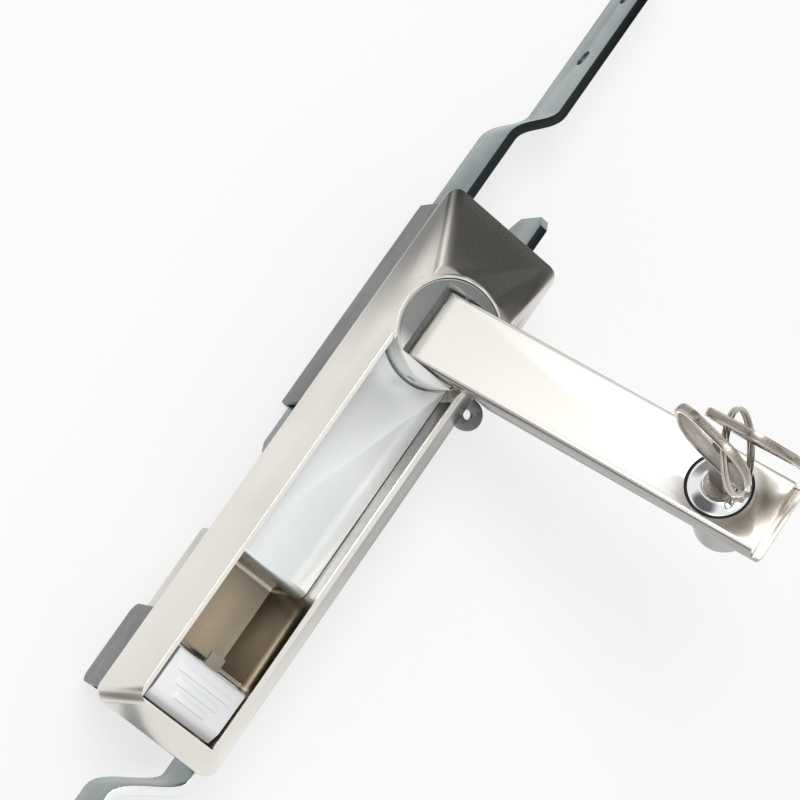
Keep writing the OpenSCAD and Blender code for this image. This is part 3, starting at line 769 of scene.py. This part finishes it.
@dataclass
class KeyRim:
    """The raised polished border round a key's bow, in millimetres."""

    name: str
    body: str
    place: Matrix
    bow_w: float = 28.0
    bow_h: float = 25.0
    bow_r: float = 9.0
    bow_steps: int = 12
    hole_d: float = 6.0
    thickness: float = 2.0
    proud: float = 0.35
    border: float = 1.5
    edge_r: float = 0.3
    edge_steps: int = 2
    edge_angle: float = 40.0

    def build(self) -> bpy.types.Object:
        """Models the border from a block: round corners, an inset on both faces, a bridge between.

        Returns:
            The border in its place.
        """
        Bench.clear()
        bpy.ops.mesh.primitive_cube_add(size=1)
        piece = bpy.context.object
        piece.name = self.name
        middle = (-KEY_HOLE_X * MM, 0, (self.hole_d - self.bow_h / 2) * MM)
        deep = (self.thickness + 2 * self.proud) * MM
        block = Matrix.Diagonal((self.bow_w * MM, deep, self.bow_h * MM, 1))
        Bench.settle(piece, Matrix.Translation(middle) @ block)
        Bench.pick_edges(piece, lambda a, b: abs(a.x - b.x) < TINY and abs(a.z - b.z) < TINY)
        bpy.ops.mesh.bevel(
            offset=self.bow_r * MM, segments=self.bow_steps, affect="EDGES", offset_type="OFFSET"
        )
        Bench.pick_faces(piece, lambda normal: abs(normal.y) > FACING)
        bpy.ops.mesh.inset(thickness=self.border * MM, depth=0.0, use_individual=True)
        bpy.ops.mesh.bridge_edge_loops()
        Bench.open(piece)
        bpy.ops.mesh.normals_make_consistent(inside=False)
        bpy.ops.object.mode_set(mode="OBJECT")
        Bench.soften(piece, self.edge_r * MM, self.edge_steps, self.edge_angle)
        Bench.settle(piece, self.place)
        Bench.dress(piece, Finishes.KEY_RIM)
        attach(piece, self.body)
        return piece


@dataclass
class CylinderCover:
    """The domed bright cover round the keyway, in millimetres.

    Each step of the dome is how far its face is inset and how far it is raised.
    """

    outer_r: float = 9.4
    hole_r: float = 4.75
    seat: float = 3.4
    rim_top: float = 4.3
    steps: tuple[tuple[float, float], ...] = (
        (0.15, 0.25),
        (0.25, 0.15),
        (0.65, 0.22),
        (0.8, 0.24),
        (0.8, 0.22),
        (0.8, 0.18),
        (0.8, 0.14),
    )
    hole_edge: float = 0.05
    hole_depth: float = 0.9
    sides: int = 96
    smooth_angle: float = 40.0

    def build(self) -> bpy.types.Object:
        """Models the cover from a disc: the face is inset and raised, then its hole is sunk.

        Returns:
            The cover in its place.
        """
        Bench.clear()
        deep = (self.rim_top - self.seat) * MM
        bpy.ops.mesh.primitive_cylinder_add(
            vertices=self.sides, radius=self.outer_r * MM, depth=deep
        )
        piece = bpy.context.object
        piece.name = "cylinder_cover_finished"
        Bench.pick_faces(piece, lambda normal: normal.z > FACING)
        inset = 0.0
        for run, rise in self.steps:
            bpy.ops.mesh.inset(thickness=run * MM, depth=rise * MM)
            inset += run
        left = self.outer_r - inset - self.hole_r
        bpy.ops.mesh.inset(thickness=left * MM, depth=-self.hole_edge * MM)
        bpy.ops.mesh.inset(thickness=self.hole_edge * MM, depth=-self.hole_depth * MM)
        bpy.ops.object.mode_set(mode="OBJECT")
        Bench.smooth(self.smooth_angle)
        lift = Matrix.Translation((LOCK_X * MM, 0, (self.seat + self.rim_top) / 2 * MM))
        Bench.settle(piece, handle_place() @ lift)
        Bench.dress(piece, Finishes.CHROME)
        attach(piece, "handle")
        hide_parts("cylinder_cover")
        return piece


@dataclass
class CoverGapShade:
    """A black ring in the gap between the cover and the handle, painted shade standing in for the
    gap, in millimetres.
    """

    middle_r: float = 9.8
    wire_r: float = 0.37
    height: float = 4.2
    flatness: float = 0.8
    sides: int = 96
    wire_sides: int = 16
    smooth_angle: float = 60.0

    def build(self) -> bpy.types.Object:
        """Models the ring from a torus that is pressed flat.

        Returns:
            The ring in its place.
        """
        Bench.clear()
        bpy.ops.mesh.primitive_torus_add(
            major_segments=self.sides,
            minor_segments=self.wire_sides,
            major_radius=self.middle_r * MM,
            minor_radius=self.wire_r * MM,
        )
        piece = bpy.context.object
        piece.name = "cover_gap_shade"
        Bench.open(piece)
        bpy.ops.transform.resize(value=(1, 1, self.flatness))
        bpy.ops.object.mode_set(mode="OBJECT")
        Bench.smooth(self.smooth_angle)
        lift = Matrix.Translation((LOCK_X * MM, 0, self.height * MM))
        Bench.settle(piece, handle_place() @ lift)
        Bench.dress(piece, Finishes.GAP_SHADE)
        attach(piece, "handle")
        return piece


@dataclass(frozen=True)
class Card:
    """A dark card that the bright metal mirrors, darkest inside its inner limit."""

    towards: Triple
    outer: float
    inner: float
    depth: float


@dataclass(frozen=True)
class Lamp:
    """A soft square lamp: its place and side in metres and its power in watts."""

    name: str
    place: Triple
    size: float
    power: float


@dataclass
class Studio:
    """Pale floor, soft light and the camera at the photograph's viewing angle."""

    lowest: float
    centre: Vector = field(default_factory=lambda: Vector((-0.29263, -0.18484, 0.82454)))
    side_turn: float = 19.763
    down_turn: float = 13.868
    roll: float = 0.502
    picture_turn: float = 35.4
    lens: float = 136.3
    sensor: float = 36.0
    near: float = 0.01
    floor_size: float = 8.0
    floor_grey: float = 0.96
    floor_glow: float = 0.7
    mirrored: float = 0.97
    ambient: float = 0.52
    sky: Paint = (1.0, 0.997, 0.99, 1.0)
    cards: tuple[Card, ...] = (
        Card((0.32, 0.84, 0.44), 0.72, 0.92, 0.93),
        Card((-0.41, -0.91, 0.0), 0.80, 0.96, 0.85),
        Card((-0.80, 0.60, 0.05), 0.87, 0.97, 0.7),
        Card((-0.82, -0.28, 0.50), 0.93, 0.985, 0.85),
    )
    lamps: tuple[Lamp, ...] = (
        Lamp("key_lamp", (-0.62, 0.23, 1.25), 0.6, 8.8),
        Lamp("fill_lamp", (-0.2, -1.0, 0.9), 0.8, 1.6),
    )
    aim: Triple = (0.02, 0.02, 0.0)

    def build(self) -> None:
        """Makes the camera, the floor and the light."""
        self.camera()
        self.floor()
        self.world()
        for lamp in self.lamps:
            self.lamp(lamp)

    def axes(self) -> tuple[Vector, Vector, Vector]:
        """Works out how the camera is turned.

        Returns:
            The camera's right, up and backward directions.
        """
        side, down = math.radians(self.side_turn), math.radians(self.down_turn)
        back = Vector(
            (-math.sin(side) * math.cos(down), -math.sin(down), math.cos(side) * math.cos(down))
        )
        level = Vector((math.cos(side), 0, math.sin(side)))
        upright = back.cross(level)
        tilt = math.radians(self.picture_turn)
        small = math.radians(self.roll)
        right = math.cos(small) * level - math.sin(small) * upright
        up = math.sin(small) * level + math.cos(small) * upright
        return (
            math.cos(tilt) * right + math.sin(tilt) * up,
            math.cos(tilt) * up - math.sin(tilt) * right,
            back,
        )

    def camera(self) -> None:
        """Makes the camera."""
        data = bpy.data.cameras.new("photo_camera")
        data.lens = self.lens
        data.sensor_width = self.sensor
        data.clip_start = self.near
        made = bpy.data.objects.new("photo_camera", data)
        bpy.context.scene.collection.objects.link(made)
        turn = Matrix(self.axes()).transposed().to_4x4()
        made.matrix_world = Matrix.Translation(self.centre) @ turn
        bpy.context.scene.camera = made

    def floor(self) -> None:
        """Makes the floor, which shows white where no shadow falls."""
        Bench.clear()
        bpy.ops.mesh.primitive_plane_add(size=self.floor_size, location=(0, 0, self.lowest))
        plane = bpy.context.object
        plane.name = "floor"
        made = bpy.data.materials.new("floor_paper")
        made.use_nodes = True
        graph = Graph(made.node_tree)
        seen = graph.ray("Camera").larger(graph.ray("Glossy")).larger(graph.ray("Transmission"))
        grey = (self.floor_grey, self.floor_grey, self.floor_grey, 1)
        paper = graph.node("ShaderNodeBsdfDiffuse", {"Color": grey})
        glow = graph.node("ShaderNodeEmission", {"Color": (1, 1, 1, 1), "Strength": 1.0})
        both = graph.node("ShaderNodeMixShader", {0: seen * self.floor_glow, 1: paper, 2: glow})
        graph.node("ShaderNodeOutputMaterial", {"Surface": both})
        plane.data.materials.append(made)
        plane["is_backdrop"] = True

    def world(self) -> None:
        """Makes the surroundings: white to the camera, with dark cards to mirroring metal."""
        world = bpy.data.worlds.new("studio")
        bpy.context.scene.world = world
        world.use_nodes = True
        graph = Graph(world.node_tree)
        where = graph.node("ShaderNodeTexCoord", output="Generated")
        bright: Any = self.mirrored
        for card in self.cards:
            facing = graph.node(
                "ShaderNodeVectorMath",
                {0: where, 1: card.towards},
                "Value",
                operation="DOT_PRODUCT",
            )
            bright = bright * (1 - graph.spread(facing, card.outer, card.inner) * card.depth)
        level = self.ambient + graph.ray("Glossy") * (bright - self.ambient)
        level = level + graph.ray("Camera") * (1 - level)
        back = graph.node("ShaderNodeBackground", {"Color": self.sky, "Strength": level})
        graph.node("ShaderNodeOutputWorld", {"Surface": back})

    def lamp(self, lamp: Lamp) -> None:
        """Makes one lamp that points at the lock.

        Args:
            lamp: What lamp it is.
        """
        data = bpy.data.lights.new(lamp.name, "AREA")
        data.shape = "SQUARE"
        data.size = lamp.size
        data.energy = lamp.power
        made = bpy.data.objects.new(lamp.name, data)
        bpy.context.scene.collection.objects.link(made)
        place = Vector(lamp.place)
        turn = (Vector(self.aim) - place).to_track_quat("-Z", "Y")
        made.matrix_world = Matrix.Translation(place) @ turn.to_matrix().to_4x4()


class RodLock:
    """The whole lock: every solid with its finish, and the pieces that replace or complete solids."""

    CASTINGS = (
        Casting("bezel_body", "housing", "pearl_nickel", 0.4),
        Casting("tray_plate", "housing", "zinc_bright", 0.25),
        Casting("rotor", "turret", "pearl_nickel", 0.35),
        Casting("handle_grip", "handle", "satin_white_nickel", 0.7),
        Casting("release_button", "button", "matte_silver", 0.14),
        Casting("upper_rod", "bar_up", "zinc_blue", 0.45),
        Casting("lower_rod", "bar_down", "zinc_blue", 0.45),
        Casting("gear_case", "housing", "zinc_grey", 0.3, 2),
        Casting("case_plate", "housing", "zinc_grey", 0.3, 2),
        Casting("lower_clamp", "housing", "zinc_grey", 0.3, 2),
        Casting("inserted_key", "plug", "key_nickel", 0.25, 2),
        Casting("spare_key", "second_key", "key_nickel", 0.25, 2),
    )
    SPRING = Casting("button_spring", "housing", "spring_steel", 0.0, width=0.8)
    SPRING_FOOT = (0.0, 0.0, -1.2 * MM)
    SPRING_KEPT = 0.8

    def __init__(self, frame: Frame) -> None:
        """Keeps the loaded frame."""
        self.frame = frame

    def dress_solids(self) -> None:
        """Gives every solid its finish."""
        for node, finish in Finishes.BY_NODE.items():
            Bench.dress(self.frame["nodes"][node], finish)
        LOG.info("solids dressed: %d", len(Finishes.BY_NODE))

    def spring(self) -> bpy.types.Object:
        """Makes the button's spring, narrow enough for the pressed button to clear it.

        Returns:
            The spring.
        """
        piece = self.SPRING.build(self.frame)
        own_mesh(piece)
        return piece

    def key_rims(self) -> list[bpy.types.Object]:
        """Makes the borders of both keys.

        Returns:
            The borders of the inserted key and of the spare key.
        """
        first = handle_place() @ Matrix.Translation(Vector(KEY_HOLE) * MM) @ turned(KEY_REST, "Z")
        second = handle_place() @ Matrix.Translation(Vector(SPARE_HOLE) * MM)
        for angle, axis in SPARE_TURNS:
            second = second @ turned(angle, axis)
        return [
            KeyRim("inserted_key_rim", "plug", first).build(),
            KeyRim("spare_key_rim", "second_key", second).build(),
        ]

    def build(self) -> None:
        """Builds the pieces in order."""
        self.dress_solids()
        pieces = [casting.build(self.frame) for casting in self.CASTINGS]
        pieces += [self.spring(), CylinderCover().build(), CoverGapShade().build()]
        pieces += self.key_rims()
        for piece in pieces:
            LOG.info("%s: %d faces", piece.name, len(piece.data.polygons))


def main() -> None:
    """Builds the lock and its studio."""
    logging.basicConfig(level=logging.INFO, format="%(name)s %(message)s")
    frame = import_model()
    solid_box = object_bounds()
    RodLock(frame).build()
    Studio(solid_box[0][2] - FLOOR_GAP).build()
    bpy.context.scene.view_settings.view_transform = "Standard"
    Bench.clear()


if __name__ == "__main__":
    main()
